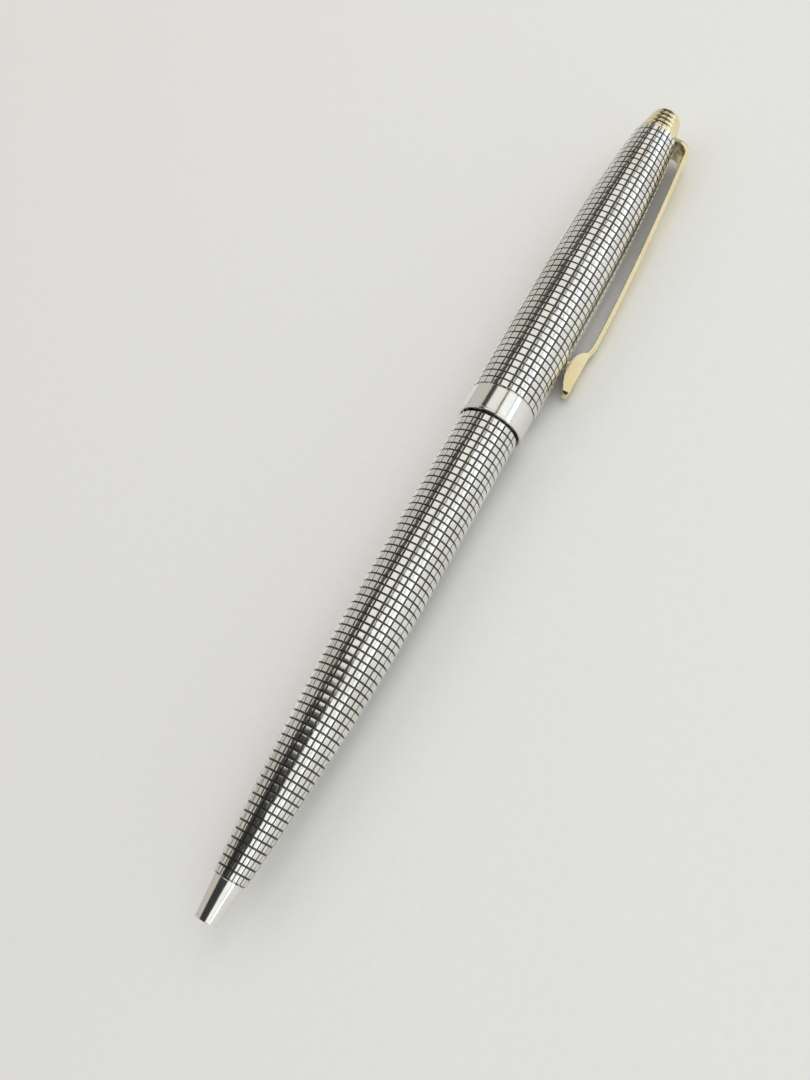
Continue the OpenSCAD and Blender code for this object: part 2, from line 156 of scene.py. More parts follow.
def bump(tree, shader, height, strength, distance):
    node = tree.nodes.new("ShaderNodeBump")
    node.inputs["Strength"].default_value = strength
    node.inputs["Distance"].default_value = distance
    tree.links.new(height, node.inputs["Height"])
    tree.links.new(node.outputs["Normal"], shader.inputs["Normal"])


def metal(name, light, dark, rough=(0.08, 0.2), grain=(1500, 9000, 9000), wave=0.01, oxide=None):
    # polished metal: the colour drifts with a faint tarnish, hairlines run along the pen and
    # wave is how far, in millimetres, the surface strays from true
    material, tree, shader = newMaterial(name)
    shader.inputs["Metallic"].default_value = 1.0
    cloud = noise(tree, objectCoords(tree), 160, 4)
    hairs = noise(tree, objectCoords(tree, grain), 1.0, 2, 0.6)
    ripple = noise(tree, objectCoords(tree), 620, 1)
    colour = mixColour(tree, mapped(tree, cloud, 0.42, 0.72, 0.0, 1.0), light, dark)
    roughness = mapped(tree, sumOf(tree, "ADD", cloud, hairs), 0.7, 1.3, rough[0], rough[1])
    if oxide:
        # the cuts hold a dark oxide that thins out towards the polished tops
        mask = tree.nodes.new("ShaderNodeAttribute")
        mask.attribute_name = "engraved"
        patchy = sumOf(tree, "MULTIPLY", mask.outputs["Fac"], mapped(tree, cloud, 0.3, 0.7, 0.85, 1.15))
        share = mapped(tree, patchy, oxide["from"], oxide["to"], 0.0, 1.0)
        colour = mixColour(tree, share, colour, oxide["colour"])
        roughness = mapped(tree, share, 0.0, 1.0, roughness, oxide["rough"])
    tree.links.new(colour, shader.inputs["Base Color"])
    tree.links.new(roughness, shader.inputs["Roughness"])
    bump(tree, shader, sumOf(tree, "MULTIPLY_ADD", hairs, 0.02, ripple), 1.0, wave * mm)
    return material


def plastic(name, light, dark, rough=0.4, grain=2500, depth=0.15):
    material, tree, shader = newMaterial(name)
    cloud = noise(tree, objectCoords(tree), grain, 3)
    tree.links.new(mixColour(tree, cloud, light, dark), shader.inputs["Base Color"])
    tree.links.new(mapped(tree, cloud, 0.3, 0.7, rough - 0.06, rough + 0.06), shader.inputs["Roughness"])
    bump(tree, shader, cloud, depth, 0.00002)
    return material


def fibre(name, light, dark):
    # bonded fibre: long strands along the pen
    material, tree, shader = newMaterial(name)
    strands = noise(tree, objectCoords(tree, (400, 9000, 9000)), 1.0, 4, 0.7)
    tree.links.new(mixColour(tree, strands, light, dark), shader.inputs["Base Color"])
    shader.inputs["Roughness"].default_value = 0.85
    bump(tree, shader, strands, 0.5, 0.00005)
    return material


print("materials")
polishedSilver = metal("polishedSilver", (0.93, 0.915, 0.885, 1), (0.84, 0.81, 0.76, 1), (0.12, 0.2))
engravedSilver = metal(
    "engravedSilver", (0.94, 0.93, 0.90, 1), (0.84, 0.815, 0.76, 1), (0.11, 0.2), wave=0.06,
    oxide={"from": 0.3, "to": 0.75, "colour": (0.11, 0.105, 0.093, 1), "rough": 0.4})
goldPlate = metal("goldPlate", (0.96, 0.86, 0.58, 1), (0.88, 0.76, 0.46, 1), (0.10, 0.2))
turnedBrass = metal(
    "turnedBrass", (0.80, 0.62, 0.30, 1), (0.66, 0.48, 0.20, 1), (0.2, 0.34), (300, 6000, 6000), 0.02)
drawnSteel = metal(
    "drawnSteel", (0.62, 0.63, 0.65, 1), (0.5, 0.5, 0.52, 1), (0.2, 0.32), (200, 8000, 8000), 0.02)
hardCarbide = metal("hardCarbide", (0.30, 0.30, 0.32, 1), (0.22, 0.22, 0.24, 1), (0.15, 0.25))
whiteAcetal = plastic("whiteAcetal", (0.86, 0.85, 0.80, 1), (0.78, 0.77, 0.71, 1))
redAcetal = plastic("redAcetal", (0.62, 0.10, 0.05, 1), (0.5, 0.07, 0.04, 1))
darkPlastic = plastic("darkPlastic", (0.03, 0.03, 0.035, 1), (0.015, 0.015, 0.02, 1), 0.25)
whiteFibre = fibre("whiteFibre", (0.82, 0.82, 0.78, 1), (0.6, 0.6, 0.56, 1))
inkedFibre = fibre("inkedFibre", (0.03, 0.03, 0.09, 1), (0.01, 0.01, 0.03, 1))
finishOf = {
    "polished_silver": polishedSilver, "engraved_silver": engravedSilver, "gold_plate": goldPlate,
    "brass": turnedBrass, "steel": drawnSteel, "carbide": hardCarbide, "white_plastic": whiteAcetal,
    "coloured_plastic": redAcetal, "dark_plastic": darkPlastic, "fibre": whiteFibre,
    "inked_fibre": inkedFibre,
}
for entry in frame["record"]["subparts"]:
    node = frame["nodes"][entry["node"]]
    node.data.materials.clear()
    node.data.materials.append(finishOf[entry["material_slot"]])


def filleted(points, cuts=4):
    # an outline of (x, r, fillet) corners with each corner rounded by its own fillet
    smooth = []
    count = len(points)
    for i, (x, r, fillet) in enumerate(points):
        here = Vector((x, r))
        if fillet == 0:
            smooth.append(here)
            continue
        before = Vector(points[i - 1][:2]) - here
        after = Vector(points[(i + 1) % count][:2]) - here
        reach = min(fillet, before.length * 0.45, after.length * 0.45)
        start = here + before.normalized() * reach
        end = here + after.normalized() * reach
        for k in range(cuts + 1):
            t = k / cuts
            smooth.append(start * (1 - t) ** 2 + here * 2 * t * (1 - t) + end * t * t)
    return smooth


def latheInto(mesh, outline, angles, closed=True):
    # turns an outline of (x, r) into mesh; a point on the axis becomes one pole
    rings = []
    for x, r in outline:
        if r < 1e-7:
            rings.append([mesh.verts.new(around(x, 0, 0))])
        else:
            rings.append([mesh.verts.new(around(x, r, angle)) for angle in angles])
    pairs = list(zip(rings, rings[1:]))
    if closed:
        pairs.append((rings[-1], rings[0]))
    count = len(angles)
    for first, second in pairs:
        if len(first) == 1 and len(second) == 1:
            continue
        for k in range(count):
            n = (k + 1) % count
            if len(first) == 1:
                mesh.faces.new((first[0], second[k], second[n]))
            elif len(second) == 1:
                mesh.faces.new((first[k], second[0], first[n]))
            else:
                mesh.faces.new((first[k], second[k], second[n], first[n]))


def evenAngles(count):
    return [turn * k / count for k in range(count)]


def turnedPiece(name, outline, body, replaced, material, steps=160, sharp=32):
    work = bmesh.new()
    latheInto(work, outline, evenAngles(steps))
    bmesh.ops.recalc_face_normals(work, faces=work.faces)
    mesh = bpy.data.meshes.new(name)
    work.to_mesh(mesh)
    work.free()
    smoothMesh(mesh, sharp)
    return addPiece(name, mesh, body, replaced, [material])


# distances from the middle of a cut as shares of a cell, and depths as shares of the full depth
skin = {
    "floor": 0.075, "wall": 0.12, "rim": 0.2,
    "depth": 0.14 * mm, "floorDepth": 0.94, "rimDepth": 0.08,
}
cutsPerCell = 7   # lines that a cell's profile takes in each direction


def buildSkinTree(name, material):
    # a tube of square cells: rows along the pen, columns round it, a V cut between cells.
    # its radius is full, less a low drop towards the front and a high drop towards the back
    tree = bpy.data.node_groups.new(name, "GeometryNodeTree")
    face = tree.interface
    face.new_socket("Geometry", in_out="INPUT", socket_type="NodeSocketGeometry")
    for label in ("Rows", "Columns"):
        face.new_socket(label, in_out="INPUT", socket_type="NodeSocketInt")
    for label in ("Start", "Pitch", "Axis Y", "Axis Z", "Full Radius", "Low From", "Low Length",
                  "Low Drop", "Low Bow", "High From", "High Length", "High Drop", "High Bow",
                  "Floor", "Wall", "Rim", "Depth", "Floor Depth", "Rim Depth"):
        face.new_socket(label, in_out="INPUT", socket_type="NodeSocketFloat")
    face.new_socket("Geometry", in_out="OUTPUT", socket_type="NodeSocketGeometry")
    given = tree.nodes.new("NodeGroupInput").outputs
    result = tree.nodes.new("NodeGroupOutput")

    grid = tree.nodes.new("GeometryNodeMeshGrid")
    grid.inputs["Size X"].default_value = 1
    grid.inputs["Size Y"].default_value = 1
    for socket, label in (("Vertices X", "Columns"), ("Vertices Y", "Rows")):
        count = sumOf(tree, "MULTIPLY_ADD", given[label], cutsPerCell, 1)
        tree.links.new(count, grid.inputs[socket])
    position = tree.nodes.new("GeometryNodeInputPosition").outputs[0]
    split = tree.nodes.new("ShaderNodeSeparateXYZ")
    tree.links.new(position, split.inputs[0])

    def cellLine(share, count):
        # gives a line's place counted in cells, and how deep it lies: 1 in a cut, 0 on a top
        cells = sumOf(tree, "MULTIPLY", sumOf(tree, "ADD", share, 0.5), count)
        nearest = sumOf(tree, "ROUND", cells)
        offset = sumOf(tree, "SUBTRACT", cells, nearest)
        distance = sumOf(tree, "ABSOLUTE", offset)
        step = 1 / cutsPerCell
        moved = mapped(tree, distance, 0, step, 0, given["Floor"])
        for k, (inner, outer) in enumerate((("Floor", "Wall"), ("Wall", "Rim")), 1):
            widening = sumOf(tree, "SUBTRACT", given[outer], given[inner])
            widened = mapped(tree, distance, k * step, (k + 1) * step, 0, widening)
            moved = sumOf(tree, "ADD", moved, widened)
        place = sumOf(tree, "MULTIPLY_ADD", moved, sumOf(tree, "SIGN", offset), nearest)
        depth = mapped(tree, distance, 0, step, 1, given["Floor Depth"])
        climb = sumOf(tree, "SUBTRACT", given["Floor Depth"], given["Rim Depth"])
        for k, rise in enumerate((climb, given["Rim Depth"]), 1):
            risen = mapped(tree, distance, k * step, (k + 1) * step, 0, rise)
            depth = sumOf(tree, "SUBTRACT", depth, risen)
        return place, depth

    column, columnDepth = cellLine(split.outputs["X"], given["Columns"])
    row, rowDepth = cellLine(split.outputs["Y"], given["Rows"])
    depth = sumOf(tree, "MAXIMUM", columnDepth, rowDepth)

    x = sumOf(tree, "MULTIPLY_ADD", row, given["Pitch"], given["Start"])

    def drop(distance, side):
        share = sumOf(tree, "MAXIMUM", sumOf(tree, "DIVIDE", distance, given[side + " Length"]), 0.0)
        bowed = sumOf(tree, "POWER", share, given[side + " Bow"])
        return sumOf(tree, "MULTIPLY", bowed, given[side + " Drop"])

    low = drop(sumOf(tree, "SUBTRACT", given["Low From"], x), "Low")
    high = drop(sumOf(tree, "SUBTRACT", x, given["High From"]), "High")
    radius = sumOf(tree, "SUBTRACT", sumOf(tree, "SUBTRACT", given["Full Radius"], low), high)
    radius = sumOf(tree, "SUBTRACT", radius, sumOf(tree, "MULTIPLY", depth, given["Depth"]))
    angle = sumOf(tree, "MULTIPLY", sumOf(tree, "DIVIDE", column, given["Columns"]), turn)
    joined = tree.nodes.new("ShaderNodeCombineXYZ")
    tree.links.new(x, joined.inputs[0])
    for k, (operation, middle) in enumerate((("SINE", "Axis Y"), ("COSINE", "Axis Z")), 1):
        side = sumOf(tree, operation, angle)
        tree.links.new(sumOf(tree, "MULTIPLY_ADD", side, radius, given[middle]), joined.inputs[k])

    stored = tree.nodes.new("GeometryNodeStoreNamedAttribute")
    stored.data_type = "FLOAT"
    stored.domain = "POINT"
    stored.inputs["Name"].default_value = "engraved"
    placed = tree.nodes.new("GeometryNodeSetPosition")
    welded = tree.nodes.new("GeometryNodeMergeByDistance")
    welded.inputs["Distance"].default_value = 0.002 * mm
    real = tree.nodes.new("GeometryNodeRealizeInstances")
    coloured = tree.nodes.new("GeometryNodeSetMaterial")
    coloured.inputs["Material"].default_value = material
    tree.links.new(grid.outputs["Mesh"], stored.inputs["Geometry"])
    tree.links.new(depth, stored.inputs["Value"])
    tree.links.new(stored.outputs["Geometry"], placed.inputs["Geometry"])
    tree.links.new(joined.outputs[0], placed.inputs["Position"])
    tree.links.new(placed.outputs["Geometry"], welded.inputs["Geometry"])
    tree.links.new(welded.outputs["Geometry"], real.inputs["Geometry"])
    tree.links.new(real.outputs["Geometry"], coloured.inputs["Geometry"])
    tree.links.new(coloured.outputs["Geometry"], result.inputs["Geometry"])
    return tree


def grown(tree, values, name):
    # runs a tree with the given sizes and returns the plain mesh that it makes
    seed = bpy.data.objects.new(name + "Seed", bpy.data.meshes.new(name + "Seed"))
    bpy.context.scene.collection.objects.link(seed)
    modifier = seed.modifiers.new(name, "NODES")
    modifier.node_group = tree
    for item in tree.interface.items_tree:
        if item.item_type == "SOCKET" and item.in_out == "INPUT" and item.name in values:
            modifier[item.identifier] = values[item.name]
    bpy.context.view_layer.update()
    ready = seed.evaluated_get(bpy.context.evaluated_depsgraph_get())
    mesh = bpy.data.meshes.new_from_object(ready)
    mesh.name = name
    seed.modifiers.clear()
    bpy.data.objects.remove(seed)
    return mesh


def skinAngles(columns):
    near = [skin[key] for key in ("floor", "wall", "rim")]
    shares = [0, *near, *(1 - share for share in reversed(near))]
    return [turn * (column + share) / columns for column in range(columns) for share in shares]


def engravedPiece(name, size, rest, body, replaced):
    # the engraved skin, closed by the plain outline that runs from its last ring back to its first
    values = {
        "Rows": size["rows"], "Columns": size["columns"], "Start": size["start"],
        "Pitch": size["length"] / size["rows"], "Axis Y": axisY, "Axis Z": axisZ,
        "Full Radius": size["fullR"], "Low From": size["lowFrom"], "Low Length": size["lowLength"],
        "Low Drop": size["lowDrop"], "Low Bow": size["lowBow"], "High From": size["highFrom"],
        "High Length": size["highLength"], "High Drop": size["highDrop"], "High Bow": size["highBow"],
        "Floor": skin["floor"], "Wall": skin["wall"], "Rim": skin["rim"], "Depth": skin["depth"],
        "Floor Depth": skin["floorDepth"], "Rim Depth": skin["rimDepth"],
    }
    tube = grown(buildSkinTree(name + "Rule", engravedSilver), values, name)
    work = bmesh.new()
    work.from_mesh(tube)
    latheInto(work, rest, skinAngles(size["columns"]), closed=False)
    bmesh.ops.remove_doubles(work, verts=work.verts, dist=0.002 * mm)
    bmesh.ops.recalc_face_normals(work, faces=work.faces)
    openEdges = sum(1 for edge in work.edges if len(edge.link_faces) != 2)
    work.to_mesh(tube)
    work.free()
    smoothMesh(tube, 42)
    print(name, len(tube.polygons), "faces,", openEdges, "open edges")
    return addPiece(name, tube, body, replaced, [engravedSilver])


def ruleRadius(size, x):
    low = max(0.0, (size["lowFrom"] - x) / size["lowLength"]) ** size["lowBow"] * size["lowDrop"]
    high = max(0.0, (x - size["highFrom"]) / size["highLength"]) ** size["highBow"] * size["highDrop"]
    return size["fullR"] - low - high


def spread(first, last, count):
    return [first + (last - first) * k / count for k in range(count + 1)]


print("barrel")
barrel = {
    "rows": 61, "columns": 24,
    "start": barrelLow.x, "length": bandLow.x - 0.2 * mm - barrelLow.x, "fullR": barrelR,
    # it narrows from 45 mm down to a front edge of 2.15 mm radius, and not at all towards the cap
    "lowFrom": along(45), "lowLength": 39.75 * mm, "lowDrop": barrelR - 2.15 * mm, "lowBow": 1.8,
    "highFrom": bandLow.x, "highLength": 1.0, "highDrop": 0.0, "highBow": 1.0,
    "wall": 0.54 * mm, "threadR": 1.61 * mm, "threadEnd": noseHigh.x,
    "hiddenR": barrelR - 0.25 * mm,   # the stretch that slides inside the cap
}
reliefX = barrel["start"] + barrel["length"]
barrelRest = [(reliefX, ruleRadius(barrel, reliefX) - skin["depth"]), (reliefX, barrel["hiddenR"]),
              (barrelHigh.x, barrel["hiddenR"]), (barrelHigh.x, barrelR - barrel["wall"])]
barrelRest += [(x, ruleRadius(barrel, x) - barrel["wall"])
               for x in spread(barrel["lowFrom"], barrel["threadEnd"], 16)]
barrelRest += [(barrel["threadEnd"], barrel["threadR"]), (barrel["start"], barrel["threadR"]),
               (barrel["start"], ruleRadius(barrel, barrel["start"]) - skin["depth"])]
engravedPiece("barrelShell", barrel, barrelRest, "barrel", ["barrel_shell"])

print("cap")
capStart = bandHigh.x + 0.12 * mm
capBelly = capStart + 12.8 * mm   # the cap's widest place
cap = {
    "rows": 46, "columns": 24,
    "start": capStart, "length": capHigh.x - capStart, "fullR": bellyR,
    "lowFrom": capBelly, "lowLength": capBelly - capStart, "lowDrop": 0.09 * mm, "lowBow": 2.0,
    "highFrom": capBelly, "highLength": capHigh.x - capBelly,
    "highDrop": bellyR - 3.44 * mm, "highBow": 2.8,
    "boreR": barrelR + 0.05 * mm, "spigotR": barrelR + 0.25 * mm,
    "topBoreR": 2.9 * mm, "topBoreX": capHigh.x - 3.8 * mm, "topWall": 0.45 * mm,
}
capRest = [(capHigh.x, ruleRadius(cap, capHigh.x) - skin["depth"]), (capHigh.x, cap["topBoreR"]),
           (cap["topBoreX"], cap["topBoreR"])]
capRest += [(x, min(cap["boreR"], ruleRadius(cap, x) - cap["topWall"]))
            for x in spread(cap["topBoreX"] - 0.5 * mm, cap["highFrom"] + 6 * mm, 14)]
capRest += [(capLow.x, cap["boreR"]), (capLow.x, cap["spigotR"]), (cap["start"], cap["spigotR"]),
            (cap["start"], ruleRadius(cap, cap["start"]) - skin["depth"])]
engravedPiece("capShell", cap, capRest, "cap", ["cap_shell"])

print("nose cone and centre band")
nose = {
    "rimR": 1.47, "middleR": 1.77, "topR": 2.03, "length": 5.25,
    "holeR": 1.15, "sleeveR": 1.61, "sleeveBoreR": 1.2,
}
noseMiddleX, noseTopX = along(nose["length"] / 2), along(nose["length"])
noseOutline = filleted([
    (along(0), nose["holeR"] * mm, 0.14 * mm), (along(0), nose["rimR"] * mm, 0.26 * mm),
    (noseMiddleX, nose["middleR"] * mm, 1.5 * mm),
    (noseTopX - 0.12 * mm, nose["topR"] * mm, 0.06 * mm),
    (noseTopX, (nose["topR"] - 0.1) * mm, 0.03 * mm),
    (noseTopX, nose["sleeveR"] * mm, 0), (noseHigh.x, nose["sleeveR"] * mm, 0.05 * mm),
    (noseHigh.x, nose["sleeveBoreR"] * mm, 0.05 * mm),
    (noseMiddleX, nose["sleeveBoreR"] * mm, 0), (noseMiddleX, nose["holeR"] * mm, 0)])
turnedPiece("noseCone", noseOutline, "barrel", ["nose_cone"], polishedSilver)

band = {"outR": 4.70, "lipR": 4.74, "bead": 0.32, "lip": 0.8, "boreR": 4.34, "spigotR": 4.49}
shoulderX = bandLow.x + band["lip"] * mm
bandOutline = filleted([
    (bandLow.x, band["boreR"] * mm, 0.08 * mm), (bandLow.x, band["lipR"] * mm, 0.12 * mm),
    (bandLow.x + band["bead"] * mm, band["lipR"] * mm, 0.1 * mm),
    (bandLow.x + (band["bead"] + 0.08) * mm, band["outR"] * mm, 0.1 * mm),
    (bandHigh.x, band["outR"] * mm, 0.12 * mm), (bandHigh.x, band["spigotR"] * mm, 0),
    (shoulderX, band["spigotR"] * mm, 0), (shoulderX, band["boreR"] * mm, 0)])
turnedPiece("centreBand", bandOutline, "cap", ["centre_band"], polishedSilver)

print("end button")
button = {
    "baseR": 3.12, "topR": 2.1, "dome": 0.5, "steps": 4, "groove": 0.09,
    "studR": 1.1, "studHold": 3.0,
}
buttonLength = (tassieHigh.x - tassieLow.x) / mm
stepLength = (buttonLength - button["dome"]) / button["steps"]
stepDrop = (button["baseR"] - button["topR"]) / buttonLength * stepLength
buttonCorners = [(0.0, button["baseR"] - 0.08, 0.04)]
for k in range(button["steps"]):
    start, end = k * stepLength, (k + 1) * stepLength
    r = button["baseR"] - k * stepDrop
    grooveR = r - stepDrop - button["groove"]
    buttonCorners += [(start + 0.02, r, 0.12), (end - 0.2, r - 0.7 * stepDrop, 0.16),
                      (end - 0.14, grooveR, 0.03), (end, grooveR, 0.03)]
buttonCorners += [
    (buttonLength - 0.42, button["topR"], 0.12), (buttonLength - 0.1, button["topR"] - 0.3, 0.2),
    (buttonLength, button["topR"] - 1.1, 0.4), (buttonLength, 0, 0),
    # the blind hole that the stud fills
    (button["studHold"], 0, 0), (button["studHold"], button["studR"], 0), (0.0, button["studR"], 0)]
buttonOutline = filleted([(tassieLow.x + x * mm, r * mm, fillet * mm) for x, r, fillet in buttonCorners])
turnedPiece("endButton", buttonOutline, "cap", ["tassie"], goldPlate)

print("clip")
clip = {   # millimetres; heights are above the cap
    "thick": 0.65, "archR": 1.9, "topHeight": 2.12, "lowHeight": 2.72, "endHeight": 2.37,
    "endLength": 7.4, "endThick": 2.1, "rootW": 4.0, "neckW": 1.8, "endW": 2.4, "bow": 1.6,
    "lean": 6.0, "blend": 0.8, "padR": 0.5, "padShare": 0.66, "discR": 3.12, "boreR": 1.15,
    "rootR": 1.9, "roundEnd": 0.09, "edge": 0.17, "innerShare": 0.94,
}
topZ, endZ = (clipHigh.x - tipX) / mm, (clipLow.x - tipX) / mm
neckZ = endZ + clip["endLength"]
archZ = topZ - clip["archR"]
clipLean = math.radians(clip["lean"])
clipTopR = ruleRadius(cap, capHigh.x) / mm + clip["topHeight"]
lowR, endR = (bellyR / mm + clip[key] for key in ("lowHeight", "endHeight"))
armTopZ = archZ + clip["archR"] * math.sin(clipLean)
armTopR = clipTopR - clip["archR"] * (1 - math.cos(clipLean))
armLowZ = neckZ + 1.5 * clip["blend"]


def armOut(z):
    if z > armLowZ:
        return lowR - (lowR - armTopR) * ((z - armLowZ) / (armTopZ - armLowZ)) ** clip["bow"]
    u = min(1, max(0, (z - neckZ + clip["blend"]) / (armLowZ - neckZ + clip["blend"])))
    return endR + (lowR - endR) * u * u * (3 - 2 * u)


def armHalf(z):
    return (clip["neckW"] + (clip["rootW"] - clip["neckW"]) * (z - neckZ) / (archZ - neckZ)) / 2


def swell(u, peak, fullness):
    return max(0, math.sin(math.pi * u ** (math.log(0.5) / math.log(peak)))) ** fullness


def rollFor(r, half):
    return math.asin(bellyR / mm / math.hypot(r, half)) - math.atan2(half, r)


# the pen lies on the cap and on the lowest edge of its clip
clipRoll = min(rollFor(armOut(z), armHalf(z)) for z in spread(armLowZ, armTopZ, 40))
clipRoll = min(clipRoll, rollFor(endR, clip["endW"] / 2))
outward = Vector((0, -math.cos(clipRoll), -math.sin(clipRoll)))
sideways = Vector((0, -math.sin(clipRoll), math.cos(clipRoll)))


def clipPoint(z, r, side):
    return Vector((along(z), axisY, axisZ)) + outward * (r * mm) + sideways * (side * mm)


def clipStations():
    # from the free end to the root: place, outer radius, outward normal, thickness, half width
    # and how wide the inner face is as a share of the outer one
    stations = []
    for k in range(41):
        u = (k / 40) ** 1.3
        full = max(u, clip["roundEnd"])
        rounding = math.sqrt(max(0.02, 1 - (1 - u / full) ** 2))
        body = swell(full, 0.6, 0.55)
        thick = clip["thick"] + (clip["endThick"] - clip["thick"]) * body
        half = (clip["neckW"] + (clip["endW"] - clip["neckW"]) * swell(full, 0.5, 1)) / 2
        z = endZ + u * clip["endLength"]
        out = armOut(z) - thick * (1 - rounding) * 0.4
        stations.append((z, out, (0, 1), thick * rounding, half * rounding, 1 - 0.45 * body))
    for z in spread(neckZ, armTopZ, 36)[1:]:
        slope = (armOut(z + 0.05) - armOut(z - 0.05)) / 0.1
        normal = Vector((-slope, 1)).normalized()
        stations.append((z, armOut(z), tuple(normal), clip["thick"], armHalf(z), clip["innerShare"]))
    for a in spread(clipLean, math.pi / 2, 16)[1:]:
        out = clipTopR - clip["archR"] * (1 - math.cos(a))
        stations.append((archZ + clip["archR"] * math.sin(a), out, (math.sin(a), math.cos(a)),
                         clip["thick"], clip["rootW"] / 2, clip["innerShare"]))
    for r in spread(clipTopR - clip["archR"], clip["rootR"], 4)[1:]:
        stations.append((topZ, r, (1, 0), clip["thick"], clip["rootW"] / 2, clip["innerShare"]))
    return stations


def closedTube(work, rings):
    for first, second in zip(rings, rings[1:]):
        for k in range(len(first)):
            n = (k + 1) % len(first)
            work.faces.new((first[k], second[k], second[n], first[n]))
    work.faces.new(rings[0])
    work.faces.new(rings[-1])


def clipMesh():
    work = bmesh.new()
    rings = []
    for z, r, (nz, nr), thick, half, inner in clipStations():
        edge = min(clip["edge"], thick * 0.4, half * 0.4)
        section = filleted([(half, 0, edge), (-half, 0, edge),
                            (-half * inner, thick, edge), (half * inner, thick, edge)], 5)
        rings.append([work.verts.new(clipPoint(z - nz * depth, r - nr * depth, side))
                      for side, depth in section])
    closedTube(work, rings)
    padZ = endZ + clip["padShare"] * clip["endLength"]
    padTipR = ruleRadius(cap, along(padZ)) / mm + 0.03
    # the pad, from inside the clip's end to its rounded tip, as distances and shares of its radius
    pad = [(endR - 2.0, 1.0), (padTipR + 0.12, 1.0), (padTipR + 0.03, 0.92), (padTipR, 0.7)]
    padRings = []
    for r, share in pad:
        padR = share * clip["padR"]
        padRings.append([work.verts.new(clipPoint(padZ + padR * math.cos(a), r, padR * math.sin(a)))
                         for a in evenAngles(28)])
    closedTube(work, padRings)
    disc = filleted([
        (clipHigh.x - clip["thick"] * mm, clip["boreR"] * mm, 0),
        (clipHigh.x - clip["thick"] * mm, clip["discR"] * mm, 0.1 * mm),
        (clipHigh.x, clip["discR"] * mm, 0.1 * mm), (clipHigh.x, clip["boreR"] * mm, 0)])
    latheInto(work, disc, evenAngles(128))
    bmesh.ops.recalc_face_normals(work, faces=work.faces)
    mesh = bpy.data.meshes.new("pocketClip")
    work.to_mesh(mesh)
    work.free()
    smoothMesh(mesh, 38)
    return mesh


addPiece("pocketClip", clipMesh(), "cap", ["clip"], [goldPlate])


def buildSpringTree(name, material):
    # a wire wound round the X axis from Start over Length
    tree = bpy.data.node_groups.new(name, "GeometryNodeTree")
    face = tree.interface
    face.new_socket("Geometry", in_out="INPUT", socket_type="NodeSocketGeometry")
    for label in ("Start", "Length", "Axis Y", "Axis Z", "Mean Radius", "Wire Radius", "Turns"):
        face.new_socket(label, in_out="INPUT", socket_type="NodeSocketFloat")
    face.new_socket("Geometry", in_out="OUTPUT", socket_type="NodeSocketGeometry")
    given = tree.nodes.new("NodeGroupInput").outputs
    result = tree.nodes.new("NodeGroupOutput")
    helix = tree.nodes.new("GeometryNodeCurveSpiral")
    helix.inputs["Resolution"].default_value = 28
    for socket, label in (("Rotations", "Turns"), ("Start Radius", "Mean Radius"),
                          ("End Radius", "Mean Radius"), ("Height", "Length")):
        tree.links.new(given[label], helix.inputs[socket])
    split = tree.nodes.new("ShaderNodeSeparateXYZ")
    tree.links.new(tree.nodes.new("GeometryNodeInputPosition").outputs[0], split.inputs[0])
    joined = tree.nodes.new("ShaderNodeCombineXYZ")
    for k, (source, middle) in enumerate((("Z", "Start"), ("X", "Axis Y"), ("Y", "Axis Z"))):
        tree.links.new(sumOf(tree, "ADD", split.outputs[source], given[middle]), joined.inputs[k])
    placed = tree.nodes.new("GeometryNodeSetPosition")
    profile = tree.nodes.new("GeometryNodeCurvePrimitiveCircle")
    profile.inputs["Resolution"].default_value = 10
    tree.links.new(given["Wire Radius"], profile.inputs["Radius"])
    swept = tree.nodes.new("GeometryNodeCurveToMesh")
    swept.inputs["Fill Caps"].default_value = True
    real = tree.nodes.new("GeometryNodeRealizeInstances")
    coloured = tree.nodes.new("GeometryNodeSetMaterial")
    coloured.inputs["Material"].default_value = material
    tree.links.new(helix.outputs["Curve"], placed.inputs["Geometry"])
    tree.links.new(joined.outputs[0], placed.inputs["Position"])
    tree.links.new(placed.outputs["Geometry"], swept.inputs["Curve"])
    tree.links.new(profile.outputs["Curve"], swept.inputs["Profile Curve"])
    tree.links.new(swept.outputs["Mesh"], real.inputs["Geometry"])
    tree.links.new(real.outputs["Geometry"], coloured.inputs["Geometry"])
    tree.links.new(coloured.outputs["Geometry"], result.inputs["Geometry"])
    return tree


print("springs")
springs = {
    "refillSpring": {"node": "refill_spring", "wire": 0.16, "turns": 9.0, "joint": "refill_advance"},
    "capSpring": {"node": "cap_spring", "wire": 0.22, "turns": 6.0, "joint": "cap_press"},
}
springTree = buildSpringTree("springRule", drawnSteel)
for name, spring in springs.items():
    low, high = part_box(spring["node"])
    wireR = spring["wire"] * mm
    values = {"Start": low.x + wireR, "Length": high.x - low.x - 2 * wireR,
              "Axis Y": axisY, "Axis Z": axisZ, "Mean Radius": (high.y - low.y) / 2 - wireR,
              "Wire Radius": wireR, "Turns": spring["turns"]}
    mesh = grown(springTree, values, name)
    smoothMesh(mesh, 60)
    piece = addPiece(name, mesh, "barrel", [spring["node"]], [drawnSteel])
    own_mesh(piece)

